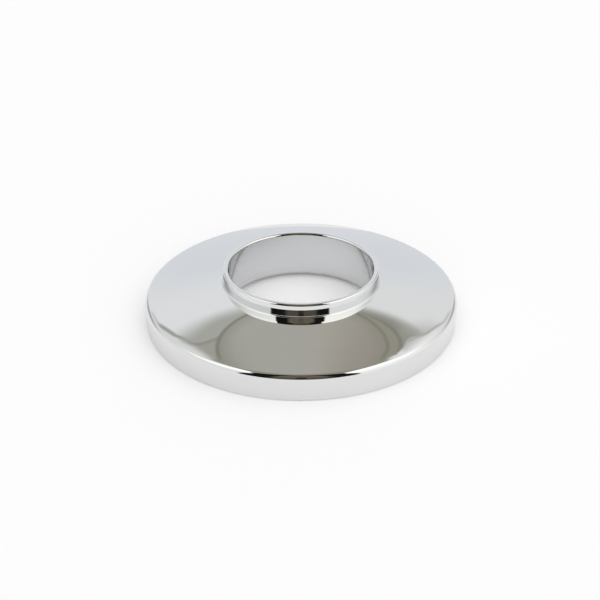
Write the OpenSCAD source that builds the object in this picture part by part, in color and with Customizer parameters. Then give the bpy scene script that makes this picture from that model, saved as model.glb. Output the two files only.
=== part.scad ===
// Rosette for a tap: a round, slightly domed cover with a short collar, made in one
// piece of brass and chromed. It slides over the tap's threaded tail and hides the
// hole in the wall or the basin.
//
// Origin: centre of the foot ring's lower face. +Z is the bore's axis and points
// away from the wall. Everything is one section turned about Z, in millimetres.

/* [Flange] */
// Outer diameter of the rosette
flange_d = 58; // [52:0.5:80]
// Height at which the domed face would meet the skirt if the rim were sharp
rim_h = 4.78; // [4.5:0.02:6]
// Radius of the domed face, with its centre on the axis
dome_r = 112; // [95:1:160]
// Rounding between the domed face and the skirt
rim_round = 1; // [0.4:0.05:1.4]
// Rounding at the skirt's foot
foot_round = 0.35; // [0.1:0.05:0.6]

/* [Collar] */
// Diameter of the bore, a sliding fit on a 3/4 inch pipe thread
bore_d = 26.8; // [20:0.1:30]
// Wall of the collar round the bore
collar_wall = 1.15; // [1.1:0.05:2]
// Height of the whole rosette, to the top of the collar
height = 10.1; // [9.6:0.05:16]
// Height of the leaning flank at the top of the collar
flank_h = 0.98; // [0.5:0.02:1.2]
// Lean of that flank from the upright, in degrees
flank_lean = 10; // [4:1:14]
// Rounding of both edges of the collar's top
lip_round = 0.42; // [0.2:0.02:0.46]
// Fillet in the corner between the collar and the domed face
collar_fillet = 0.3; // [0.1:0.05:0.5]

/* [Underside] */
// Wall under the domed face
dome_wall = 1.5; // [1:0.1:2]
// Wall of the skirt
skirt_wall = 1.5; // [1:0.1:2.5]
// Fillet in the upper corners of the ring-shaped recess
recess_fillet = 0.8; // [0.3:0.1:1.2]
// Clearance between the end of the hub and the plane of the foot
hub_clear = 0.1; // [0.05:0.05:0.8]
// Radius of the lead-in at the back of the bore
lead_in = 2.7; // [1.5:0.1:3]
// Flat land on the hub's end, outside the lead-in
hub_land = 0.4; // [0.2:0.1:1.5]

/* [Hidden] */
$fn = 180;
// Facets of the large circles of the dome
dome_fn = 1440;
// Length by which a cut passes a face
over = 1;

flange_r = flange_d / 2;
bore_r = bore_d / 2;
collar_r = bore_r + collar_wall;
hub_r = bore_r + lead_in + hub_land;
skirt_in_r = flange_r - skirt_wall;
ceiling_r = dome_r - dome_wall;
flank_z = height - flank_h;
lip_z = height - lip_round;

// Height of the dome's centre on the axis
dome_z = rim_h - sqrt(dome_r * dome_r - flange_r * flange_r);

// Height at radius r of a circle of radius big round the dome's centre
function arc_z(big, r) = dome_z + sqrt(big * big - r * r);
// Direction, in degrees, from the dome's centre to point p
function dome_dir(p) = atan2(p[1] - dome_z, p[0]);
function dir(a) = [cos(a), sin(a)];

// Centres of the roundings, each tangent to the two lines or arcs that it joins
rim_c = [flange_r - rim_round, arc_z(dome_r - rim_round, flange_r - rim_round)];
foot_c = [flange_r - foot_round, foot_round];
fillet_c = [collar_r + collar_fillet, arc_z(dome_r + collar_fillet, collar_r + collar_fillet)];
lip_out_c = [
    collar_r - (lip_round + (lip_z - flank_z) * sin(flank_lean)) / cos(flank_lean),
    lip_z
];
lip_in_c = [bore_r + lip_round, lip_z];
lead_c = [bore_r + lead_in, hub_clear + lead_in];
recess_out_c = [
    skirt_in_r - recess_fillet,
    arc_z(ceiling_r - recess_fillet, skirt_in_r - recess_fillet)
];
recess_in_c = [
    hub_r + recess_fillet,
    arc_z(ceiling_r - recess_fillet, hub_r + recess_fillet)
];

// What lies between a circle of radius r round c and the corner that it rounds,
// from direction a0 to direction a1
module corner(c, r, a0, a1) {
    difference() {
        polygon([c, c + 2 * r * dir(a0), c + 3 * r * dir((a0 + a1) / 2), c + 2 * r * dir(a1)]);
        translate(c) circle(r = r);
    }
}

// Part of a large circle round the dome's centre, from radius r0 to r1 and above z0
module dome_part(big, r0, r1, z0) {
    intersection() {
        translate([0, dome_z]) circle(r = big, $fn = dome_fn);
        translate([r0, z0]) square([r1 - r0, height - z0]);
    }
}

// Skirt and flange, filled from the axis out
module flange_shape() {
    difference() {
        dome_part(dome_r, 0, flange_r, 0);
        corner(rim_c, rim_round, 0, dome_dir(rim_c));
        corner(foot_c, foot_round, -90, 0);
    }
}

// Collar, filled from the axis out, with the fillet at its root
module collar_shape() {
    difference() {
        polygon([
            [0, rim_h],
            [collar_r, rim_h],
            [collar_r, flank_z],
            [collar_r - flank_h * tan(flank_lean), height],
            [0, height]
        ]);
        corner(lip_out_c, lip_round, flank_lean, 90);
    }
    corner(fillet_c, collar_fillet, 180, 180 + dome_dir(fillet_c));
}

// The bore, with its rounded lip above and its lead-in below
module bore_shape() {
    translate([-over, -over]) square([bore_r + over, height + 2 * over]);
    corner(lip_in_c, lip_round, 90, 180);
    corner(lead_c, lead_in, 180, 270);
}

// The recess between hub and skirt, and the clearance under the hub
module recess_shape() {
    translate([0, -over]) square([hub_r + over, hub_clear + over]);
    difference() {
        dome_part(ceiling_r, hub_r, skirt_in_r, -over);
        corner(recess_out_c, recess_fillet, 0, dome_dir(recess_out_c));
        corner(recess_in_c, recess_fillet, dome_dir(recess_in_c), 180);
    }
}

module rosette() {
    color([0.78, 0.79, 0.81])
        rotate_extrude()
            difference() {
                union() {
                    flange_shape();
                    collar_shape();
                }
                bore_shape();
                recess_shape();
            }
}

rosette();
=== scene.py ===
"""Tap rosette: a polished chrome cover on a white table, in a light tent."""

import math

import bpy
from mathutils import Euler, Matrix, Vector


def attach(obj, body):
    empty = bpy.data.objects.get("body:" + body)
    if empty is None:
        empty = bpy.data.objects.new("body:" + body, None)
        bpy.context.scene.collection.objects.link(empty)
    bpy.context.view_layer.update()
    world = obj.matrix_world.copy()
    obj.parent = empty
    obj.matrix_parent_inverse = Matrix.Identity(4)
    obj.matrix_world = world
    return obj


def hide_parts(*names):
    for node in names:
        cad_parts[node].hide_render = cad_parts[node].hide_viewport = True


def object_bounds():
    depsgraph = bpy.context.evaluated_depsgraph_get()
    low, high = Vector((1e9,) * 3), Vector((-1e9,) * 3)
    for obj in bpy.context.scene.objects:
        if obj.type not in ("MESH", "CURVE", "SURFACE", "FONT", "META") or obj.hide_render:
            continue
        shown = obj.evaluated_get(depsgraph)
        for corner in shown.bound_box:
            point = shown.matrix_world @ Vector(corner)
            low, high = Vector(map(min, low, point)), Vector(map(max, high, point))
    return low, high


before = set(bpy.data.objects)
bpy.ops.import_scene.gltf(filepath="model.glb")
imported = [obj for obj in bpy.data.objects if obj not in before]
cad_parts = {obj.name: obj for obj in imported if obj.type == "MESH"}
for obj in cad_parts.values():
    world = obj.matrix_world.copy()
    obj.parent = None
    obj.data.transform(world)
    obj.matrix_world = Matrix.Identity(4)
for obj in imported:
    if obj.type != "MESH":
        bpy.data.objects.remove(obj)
cad_box = [list(corner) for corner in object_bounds()]


class Nodes:
    """Short calls that add shader nodes to one tree and return their output."""

    def __init__(self, tree):
        self.tree = tree
        tree.nodes.clear()

    def add(self, kind, **props):
        node = self.tree.nodes.new(kind)
        for name, value in props.items():
            setattr(node, name, value)
        return node

    def feed(self, socket, value):
        if isinstance(value, bpy.types.NodeSocket):
            self.tree.links.new(value, socket)
        else:
            socket.default_value = value

    def math(self, operation, a, b=0.0, c=0.0):
        node = self.add("ShaderNodeMath", operation=operation)
        for socket, value in zip(node.inputs, (a, b, c)):
            self.feed(socket, value)
        return node.outputs[0]

    def times(self, *factors):
        product = factors[0]
        for factor in factors[1:]:
            product = self.math("MULTIPLY", product, factor)
        return product

    def ramp(self, value, low, high, start=0.0, end=1.0):
        """Smooth step of value: start up to low, end from high on."""
        node = self.add("ShaderNodeMapRange", interpolation_type="SMOOTHSTEP")
        for socket, number in zip(node.inputs, (value, low, high, start, end)):
            self.feed(socket, number)
        return node.outputs[0]

    def band(self, value, low, full, last, high):
        """1 from full to last, smoothly down to 0 at low and at high."""
        return self.times(self.ramp(value, low, full), self.ramp(value, last, high, 1.0, 0.0))

    def ring(self, a, b, centre, half, power=2.0):
        """1 on an ellipse with these half axes, or, with a higher power, on a boxier oval."""
        total = 0.0
        for value, middle, reach in zip((a, b), centre, half):
            away = self.math("ABSOLUTE", self.math("SUBTRACT", value, middle))
            total = self.math("ADD", self.math("POWER", self.times(away, 1 / reach), power), total)
        return self.math("POWER", total, 1 / power)

    def mix(self, factor, a, b):
        node = self.add("ShaderNodeMix", data_type="RGBA")
        self.feed(node.inputs[0], factor)
        for socket, value in ((node.inputs[6], a), (node.inputs[7], b)):
            if not isinstance(value, bpy.types.NodeSocket):
                value = (*value, 1.0)
            self.feed(socket, value)
        return node.outputs[2]


# The tent's own brightness, by direction, as the chrome shows it
WALL_LOW = (0.79, 0.82, 0.865)
WALL_LOW_SIDE = (0.845, 0.86, 0.87)
WALL_LEFT = (0.885, 0.895, 0.91)
WALL_RIGHT = (0.865, 0.868, 0.872)
WING_LEFT = (0.80, 0.815, 0.775)
WING_RIGHT = (0.87, 0.87, 0.82)
CORNER_LEFT = (0.425, 0.43, 0.46)
CORNER_RIGHT = (0.47, 0.485, 0.50)
SIDE_LEFT = (0.90, 0.91, 0.91)
SIDE_RIGHT = (1.07, 1.08, 1.07)
CREAM_LEFT = (1.32, 1.33, 1.28)
CREAM_RIGHT = (1.42, 1.42, 1.34)
SHEET_LEFT = (0.463, 0.458, 0.414)
SHEET_RIGHT = (0.468, 0.445, 0.40)
DULL_LEFT = (0.36, 0.36, 0.31)
DULL_RIGHT = (0.35, 0.325, 0.275)
SHEET_EDGE = (0.33, 0.315, 0.27)
SHADE_LEFT = (0.455, 0.46, 0.42)
SHADE_RIGHT = (0.30, 0.30, 0.255)
SHADE_END = (0.365, 0.365, 0.315)
FOLD = (0.37, 0.37, 0.335)
STRIP_LEFT = (0.43, 0.41, 0.37)
STRIP_RIGHT = (0.345, 0.335, 0.27)
SEAM = (0.265, 0.26, 0.215)
DARK = (0.010, 0.010, 0.009)
BROWN = (0.106, 0.092, 0.068)
BROWN_HIGH = (0.175, 0.155, 0.115)
LENS = (0.030, 0.025, 0.018)
# The table's colour in the chrome and to the camera, and the share of plain white in it
TABLE_MIRRORED = (0.945, 0.938, 0.945)
TABLE_SEEN = (0.98, 0.98, 0.98)
GLOW_MIRRORED = 0.02
GLOW_SEEN = 0.14


def directions(n):
    """The ray's direction, as x, y, z."""
    coord = n.add("ShaderNodeTexCoord")
    split = n.add("ShaderNodeSeparateXYZ")
    n.tree.links.new(coord.outputs["Generated"], split.inputs[0])
    return split.outputs


def tent_colour(n):
    """Colour of the tent in the direction of the ray."""
    x, y, z = directions(n)
    degree = 180 / math.pi
    # bearing: 0 straight behind, 90 to the right, 180 in front
    bearing = n.times(n.math("ARCTAN2", x, y), degree)
    side = n.math("ABSOLUTE", bearing)
    elev = n.times(n.math("ARCSINE", z), degree)
    # phi: 0 at the horizon behind, 90 at the zenith, 180 at the horizon in front
    phi = n.times(n.math("ARCTAN2", z, y), degree)
    right = n.ramp(bearing, -16, 16)
    half = n.times(right, 0.5)

    # back wall, with dim corners low at both sides
    low = n.mix(n.ramp(side, 14, 26), WALL_LOW, WALL_LOW_SIDE)
    high = n.mix(right, WALL_LEFT, WALL_RIGHT)
    colour = n.mix(n.ramp(elev, 18, 34), low, high)
    corner = n.times(n.band(side, 28, 38, 47, 72), n.band(elev, 3, 8, 19, 30))
    colour = n.mix(corner, colour, n.mix(right, CORNER_LEFT, CORNER_RIGHT))
    # beyond the wall's upright folds it is duller, and creamier
    wing = n.times(n.ramp(side, 27.6, 29.4), n.ramp(elev, 28, 34))
    colour = n.mix(wing, colour, n.mix(right, WING_LEFT, WING_RIGHT))
    # side walls, with soft boxes high up; the right one begins at the fold
    colour = n.mix(n.ramp(side, 58, 96), colour, n.mix(right, SIDE_LEFT, SIDE_RIGHT))
    lamp = n.times(n.ramp(side, 49, 84), n.math("MULTIPLY_ADD", right, -0.33, 1.0))
    lamp = n.math("MULTIPLY_ADD", n.ramp(side, 26.8, 29.4), n.times(right, 0.33), lamp)
    lamp = n.times(lamp, n.ramp(n.math("MULTIPLY_ADD", right, 3, elev), 36, 50))
    colour = n.mix(lamp, colour, n.mix(right, CREAM_LEFT, CREAM_RIGHT))

    # the upright folds themselves, the right one with a soft shade on its inside
    curl = n.math("MAXIMUM", n.times(n.math("SUBTRACT", elev, 41.0), 0.3), 0.0)
    edge = n.math("ADD", side, curl)
    bend = n.math("MAXIMUM", n.times(n.math("SUBTRACT", 34.5, elev), 0.28), 0.0)
    fold = n.ramp(n.math("ADD", edge, bend), 26.9, 27.6)
    fold = n.times(fold, n.ramp(n.math("ADD", edge, half), 27.8, 28.5, 1, 0))
    fold = n.times(fold, n.band(elev, 28, 31, 45, 47), n.ramp(elev, 33, 37, 0.5, 0.92))
    colour = n.mix(n.times(fold, n.math("MULTIPLY_ADD", right, -0.1, 1.0)), colour, FOLD)
    soft = n.times(n.ramp(side, 22, 27.5), n.band(elev, 34, 39, 43, 46), right, 0.42)
    soft = n.times(soft, n.ramp(side, 27.5, 27.9, 1, 0))
    glum = n.times(n.ramp(side, 29, 25.5), n.band(elev, 39, 42, 48, 50), right, 0.75)
    colour = n.mix(n.math("MAXIMUM", glum, soft), colour, SHADE_LEFT)
    colour = overhead(n, colour, x, z, bearing, elev, phi, right)
    return front_opening(n, colour, x, y, elev, phi, right)


def overhead(n, colour, x, z, bearing, elev, phi, right):
    """The sheet above, its seam and the shade round it."""
    side = n.math("ABSOLUTE", bearing)
    seam = n.ring(bearing, elev, (0, 56), (24.3, 14.9))
    seam = n.math("MULTIPLY_ADD", n.times(right, n.ramp(elev, 50, 54, 1, 0)), -0.035, seam)
    # the shade ends at both sides at an edge that comes in with height; the right one is
    # crisper and has a notch
    drop = n.times(n.math("MAXIMUM", n.math("SUBTRACT", elev, 44.0), 0.0), 0.16)
    notch = n.math("ADD", n.ramp(elev, 40, 45.5, 0, 2.2), n.ramp(elev, 45, 48.5, 0, -0.85))
    notch = n.math("ADD", notch, n.times(n.math("MAXIMUM", n.math("SUBTRACT", elev, 51.0), 0.0), 0.42))
    out = n.math("ADD", side, n.mix(right, drop, notch))
    blur = n.math("MULTIPLY_ADD", right, -1.05, 1.45)
    inner = n.ramp(n.math("DIVIDE", n.math("SUBTRACT", out, 27.75), blur), -1, 1, 1, 0)

    # it deepens more slowly towards its ends
    reach = n.math("MAXIMUM", n.math("SUBTRACT", side, 18.0), 0.0)
    reach = n.math("MULTIPLY_ADD", reach, 0.36, 4.9)
    over_wall = n.ramp(n.math("DIVIDE", n.math("SUBTRACT", elev, 38.0), reach), 0, 1)
    # a paler strip follows the seam, inside a second line
    outer_right = n.ring(bearing, elev, (0, 56), (27.2, 14.7), 3.0)
    outer_left = n.ring(bearing, elev, (-21.5, 41), (6, 6.3), 3.0)
    end = n.ramp(bearing, -16.5, -18.5)
    shade_left = n.mix(n.times(n.ramp(outer_left, 1.0, 1.08), end), SHADE_LEFT, STRIP_LEFT)
    shade_right = n.mix(n.ramp(bearing, 20, 24), SHADE_RIGHT, SHADE_END)
    shade_right = n.mix(n.ramp(outer_right, 1.0, 0.97), shade_right, STRIP_RIGHT)
    shade = n.mix(right, shade_left, shade_right)
    colour = n.mix(n.times(over_wall, inner), colour, shade)

    # the strip runs on over the zenith
    strip = n.math("DIVIDE", n.math("ABSOLUTE", x), n.math("MAXIMUM", z, 0.02))
    back = n.times(n.ramp(seam, 1.0, 1.03, 1, 0), n.ramp(phi, 56, 58, 1, 0))
    top = n.times(n.ramp(strip, 0.33, 0.38, 1, 0), n.ramp(phi, 55, 57))
    sheet = n.mix(n.ramp(bearing, -8, 8), SHEET_LEFT, SHEET_RIGHT)
    sheet = n.mix(n.ramp(phi, 62, 88), sheet, SHEET_EDGE)
    sheet = n.mix(n.times(n.ramp(bearing, -13, -26), 0.6), sheet, DULL_LEFT)
    sheet = n.mix(n.times(n.ramp(bearing, 3, 20), 0.75), sheet, DULL_RIGHT)
    sheet = n.mix(n.times(n.ramp(seam, 0.78, 1.0), 0.35), sheet, SEAM)
    colour = n.mix(n.math("MAXIMUM", back, top), colour, sheet)

    low = n.times(inner, n.ramp(phi, 55, 58, 1, 0))
    line = n.band(seam, 0.965, 1.0, 1.01, 1.045)
    colour = n.mix(n.times(line, low, 0.85), colour, SEAM)
    left_line = n.times(n.band(outer_left, 0.96, 1.0, 1.03, 1.2), end, 0.5)
    right_line = n.times(n.band(outer_right, 0.965, 0.99, 1.0, 1.035), 0.85)
    outside = n.times(low, n.ramp(seam, 1.0, 1.03), n.ramp(elev, 41, 44))
    return n.mix(n.times(n.mix(right, left_line, right_line), outside), colour, SEAM)


def front_opening(n, colour, x, y, elev, phi, right):
    """The open front of the tent and the dim room behind the camera."""
    width = n.math("DIVIDE", n.math("ABSOLUTE", x), n.math("MAXIMUM", n.times(y, -1.0), 0.02))
    # it is wider at the top, more so on the left
    flare = n.times(n.ramp(elev, 50, 66), n.math("MULTIPLY_ADD", right, -0.33, 0.6))
    edge = n.math("ADD", flare, n.math("MULTIPLY_ADD", right, -0.09, 0.91))
    inside = n.ramp(n.math("SUBTRACT", width, edge), -0.05, 0.05, 1, 0)
    inside = n.times(inside, n.ramp(phi, 88, 100))
    brown = n.mix(n.band(elev, 35, 50, 56, 68), BROWN, BROWN_HIGH)
    room = n.mix(n.ramp(width, 0.30, 0.46, 1, 0), DARK, brown)
    lens = n.times(n.ramp(width, 0.04, 0.09, 1, 0), n.ramp(elev, 38, 52, 1, 0))
    lens = n.times(lens, n.ramp(elev, 9, 15))
    room = n.mix(lens, room, LENS)
    return n.mix(inside, colour, room)


def plain_light(n):
    """Soft light for the table, stronger from the right and from the front."""
    x, y, _ = directions(n)
    # weaker from both sides; the sum still lights an open table as a level of 1 does
    even = n.math("MULTIPLY_ADD", n.times(x, x), -1.0, 1.25)
    return n.math("ADD", even, n.math("MULTIPLY_ADD", x, 0.2, n.times(y, -0.28)))


def make_world():
    world = bpy.data.worlds.new("tent")
    bpy.context.scene.world = world
    world.use_nodes = True
    n = Nodes(world.node_tree)
    studio = n.add("ShaderNodeBackground")
    n.feed(studio.inputs["Color"], tent_colour(n))
    plain = n.add("ShaderNodeBackground")
    plain.inputs["Color"].default_value = (1, 1, 1, 1)
    path = n.add("ShaderNodeLightPath").outputs
    # beyond the table the eye sees white
    unseen = n.math("SUBTRACT", 1.0, path["Is Camera Ray"])
    level = n.math("MULTIPLY_ADD", unseen, plain_light(n), path["Is Camera Ray"])
    n.feed(plain.inputs["Strength"], level)
    # the table is lit by the plain light, also by way of the chrome
    seen = n.times(path["Is Glossy Ray"], n.math("LESS_THAN", path["Diffuse Depth"], 0.5))
    blend = n.add("ShaderNodeMixShader")
    n.feed(blend.inputs[0], seen)
    n.tree.links.new(plain.outputs[0], blend.inputs[1])
    n.tree.links.new(studio.outputs[0], blend.inputs[2])
    out = n.add("ShaderNodeOutputWorld")
    n.tree.links.new(blend.outputs[0], out.inputs["Surface"])


def chrome():
    mat = bpy.data.materials.new("polished_chrome")
    mat.use_nodes = True
    n = Nodes(mat.node_tree)
    coord = n.add("ShaderNodeTexCoord").outputs["Object"]
    bsdf = n.add("ShaderNodeBsdfPrincipled")
    bsdf.inputs["Metallic"].default_value = 1.0
    cloud = n.add("ShaderNodeTexNoise")
    n.feed(cloud.inputs["Vector"], coord)
    cloud.inputs["Scale"].default_value = 90.0
    cloud.inputs["Detail"].default_value = 3.0
    tone = n.mix(cloud.outputs["Fac"], (0.765, 0.77, 0.77), (0.795, 0.80, 0.80))
    # painted shade: the chrome's colour is darker inside the bore, standing in for the bore's dimmer
    # reflections
    split = n.add("ShaderNodeSeparateXYZ")
    n.feed(split.inputs[0], coord)
    x, y = split.outputs[0], split.outputs[1]
    radius = n.math("SQRT", n.math("MULTIPLY_ADD", x, x, n.times(y, y)))
    inside = n.ramp(radius, (BORE_R + 0.02) * MM, (BORE_R + 0.1) * MM, 1, 0)
    n.feed(bsdf.inputs["Base Color"], n.mix(inside, tone, (0.692, 0.70, 0.703)))
    n.feed(bsdf.inputs["Roughness"], n.ramp(cloud.outputs["Fac"], 0.3, 0.7, 0.01, 0.025))
    out = n.add("ShaderNodeOutputMaterial")
    n.tree.links.new(bsdf.outputs[0], out.inputs["Surface"])
    return mat


def table_top():
    mat = bpy.data.materials.new("white_table")
    mat.use_nodes = True
    n = Nodes(mat.node_tree)
    path = n.add("ShaderNodeLightPath").outputs
    mirrored = n.math("MAXIMUM", path["Is Glossy Ray"], path["Is Transmission Ray"])
    bsdf = n.add("ShaderNodeBsdfDiffuse")
    n.feed(bsdf.inputs["Color"], n.mix(path["Is Camera Ray"], TABLE_MIRRORED, TABLE_SEEN))
    glow = n.add("ShaderNodeEmission")
    glow.inputs["Color"].default_value = (1, 1, 1, 1)
    glow.inputs["Strength"].default_value = 1.0
    # a share of plain white lightens the shadows, for the eye and for the chrome alike
    share = n.math("MULTIPLY_ADD", mirrored, GLOW_MIRRORED, n.times(path["Is Camera Ray"], GLOW_SEEN))
    blend = n.add("ShaderNodeMixShader")
    n.feed(blend.inputs[0], share)
    n.tree.links.new(bsdf.outputs[0], blend.inputs[1])
    n.tree.links.new(glow.outputs[0], blend.inputs[2])
    out = n.add("ShaderNodeOutputMaterial")
    n.tree.links.new(blend.outputs[0], out.inputs["Surface"])
    return mat


def make_floor():
    half = 3.0
    mesh = bpy.data.meshes.new("table")
    mesh.from_pydata(
        [(-half, -half, 0), (half, -half, 0), (half, half, 0), (-half, half, 0)],
        [],
        [(0, 1, 2, 3)],
    )
    floor = bpy.data.objects.new("table", mesh)
    bpy.context.scene.collection.objects.link(floor)
    mesh.materials.append(table_top())


# The section of the rosette, in millimetres; the diameter and the height come from the CAD
MM = 0.001
FLANGE_R = cad_box[1][0] / MM
HEIGHT = cad_box[1][2] / MM
RIM_H = 4.78
DOME_R = 112.0
RIM_ROUND = 1.0
FOOT_ROUND = 0.35
BORE_R = 13.4
COLLAR_WALL = 1.15
FLANK_H = 0.98
FLANK_LEAN = math.radians(10)
LIP_ROUND = 0.42
COLLAR_FILLET = 0.3
DOME_WALL = 1.5
SKIRT_WALL = 1.5
RECESS_FILLET = 0.8
HUB_CLEAR = 0.1
LEAD_IN = 2.7
HUB_LAND = 0.4


def arc(centre, radius, start, end, steps, hollow=False):
    """Points of an arc with their normals, which point to the centre if hollow."""
    sign = -1 if hollow else 1
    run = []
    for i in range(steps + 1):
        a = start + (end - start) * i / steps
        c, s = math.cos(a), math.sin(a)
        run.append((centre[0] + radius * c, centre[1] + radius * s, sign * c, sign * s))
    return run


def line(start, end):
    """A straight run; the section goes round with the material on its left."""
    dr, dz = end[0] - start[0], end[1] - start[1]
    length = math.hypot(dr, dz)
    normal = (dz / length, -dr / length)
    return [(*start, *normal), (*end, *normal)]


def section():
    """Runs of the rosette's section, from the foot up the outside and back inside."""
    up, left, down = math.pi / 2, math.pi, -math.pi / 2
    collar_r = BORE_R + COLLAR_WALL
    hub_r = BORE_R + LEAD_IN + HUB_LAND
    skirt_r = FLANGE_R - SKIRT_WALL
    ceiling_r = DOME_R - DOME_WALL
    lip_z = HEIGHT - LIP_ROUND
    flank_z = HEIGHT - FLANK_H
    dome_z = RIM_H - math.sqrt(DOME_R**2 - FLANGE_R**2)

    def on_dome(big, r):
        return (r, dome_z + math.sqrt(big**2 - r**2))

    def bearing(point):
        return math.atan2(point[1] - dome_z, point[0])

    rim = on_dome(DOME_R - RIM_ROUND, FLANGE_R - RIM_ROUND)
    foot = (FLANGE_R - FOOT_ROUND, FOOT_ROUND)
    root = on_dome(DOME_R + COLLAR_FILLET, collar_r + COLLAR_FILLET)
    lean, rise = FLANK_LEAN, lip_z - flank_z
    lip_out = (collar_r - (LIP_ROUND + rise * math.sin(lean)) / math.cos(lean), lip_z)
    lip_in = (BORE_R + LIP_ROUND, lip_z)
    lead = (BORE_R + LEAD_IN, HUB_CLEAR + LEAD_IN)
    outer = on_dome(ceiling_r - RECESS_FILLET, skirt_r - RECESS_FILLET)
    inner = on_dome(ceiling_r - RECESS_FILLET, hub_r + RECESS_FILLET)
    dome = (0.0, dome_z)

    flank = arc(lip_out, LIP_ROUND, lean, up, 10)
    return [
        arc(foot, FOOT_ROUND, down, 0, 8),
        line((FLANGE_R, foot[1]), (FLANGE_R, rim[1])),
        arc(rim, RIM_ROUND, 0, bearing(rim), 14),
        arc(dome, DOME_R, bearing(rim), bearing(root), 24),
        arc(root, COLLAR_FILLET, bearing(root) - left, -left, 8, hollow=True),
        line((collar_r, root[1]), (collar_r, flank_z)),
        line((collar_r, flank_z), flank[0][:2]),
        flank,
        line(flank[-1][:2], (lip_in[0], HEIGHT)),
        arc(lip_in, LIP_ROUND, up, left, 10),
        line((BORE_R, lip_z), (BORE_R, lead[1])),
        arc(lead, LEAD_IN, left, left - down, 14),
        line((lead[0], HUB_CLEAR), (hub_r, HUB_CLEAR)),
        line((hub_r, HUB_CLEAR), (hub_r, inner[1])),
        arc(inner, RECESS_FILLET, left, bearing(inner), 10, hollow=True),
        arc(dome, ceiling_r, bearing(inner), bearing(outer), 16, hollow=True),
        arc(outer, RECESS_FILLET, bearing(outer), 0, 10, hollow=True),
        line((skirt_r, outer[1]), (skirt_r, 0.0)),
        line((skirt_r, 0.0), (foot[0], 0.0)),
    ]


def turned(name, runs, turns):
    """A closed solid of revolution with the runs' own normals."""
    points, strips = [], []
    for run in runs:
        for a, b in zip(run, run[1:]):
            strips.append((len(points), a[2:], b[2:]))
            points.append(a[:2])
    verts, faces, normals = [], [], []
    spin = [2 * math.pi * k / turns for k in range(turns)]
    for r, z in points:
        verts += [(r * MM * math.cos(t), r * MM * math.sin(t), z * MM) for t in spin]
    for i, start, end in strips:
        j = (i + 1) % len(points)
        for k in range(turns):
            k2 = (k + 1) % turns
            faces.append((i * turns + k, i * turns + k2, j * turns + k2, j * turns + k))
            corners = ((start, k), (start, k2), (end, k2), (end, k))
            normals += [
                (n[0] * math.cos(spin[m]), n[0] * math.sin(spin[m]), n[1]) for n, m in corners
            ]
    mesh = bpy.data.meshes.new(name)
    mesh.from_pydata(verts, [], faces)
    mesh.normals_split_custom_set(normals)
    piece = bpy.data.objects.new(name, mesh)
    bpy.context.scene.collection.objects.link(piece)
    return piece


def make_rosette():
    piece = turned("polished_rosette", section(), 400)
    piece.data.materials.append(chrome())
    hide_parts("rosette")
    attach(piece, "root")


CAM_ELEVATION = 29.984
CAM_ROLL = -0.1907
CAM_PLACE = (-0.00019, -0.182726, 0.108251)
FOCAL_PX = 1121.3
PHOTO_PX = 600
SENSOR = 36.0


def make_camera():
    data = bpy.data.cameras.new("camera")
    data.sensor_fit = "HORIZONTAL"
    data.sensor_width = SENSOR
    data.lens = FOCAL_PX * SENSOR / PHOTO_PX
    cam = bpy.data.objects.new("camera", data)
    tilt = Euler((math.radians(90 - CAM_ELEVATION), 0, 0)).to_matrix()
    roll = Matrix.Rotation(math.radians(CAM_ROLL), 3, "Z")
    cam.matrix_world = Matrix.Translation(CAM_PLACE) @ (tilt @ roll).to_4x4()
    bpy.context.scene.collection.objects.link(cam)
    bpy.context.scene.camera = cam


make_rosette()
make_world()
make_floor()
make_camera()
bpy.context.scene.view_settings.view_transform = "Standard"
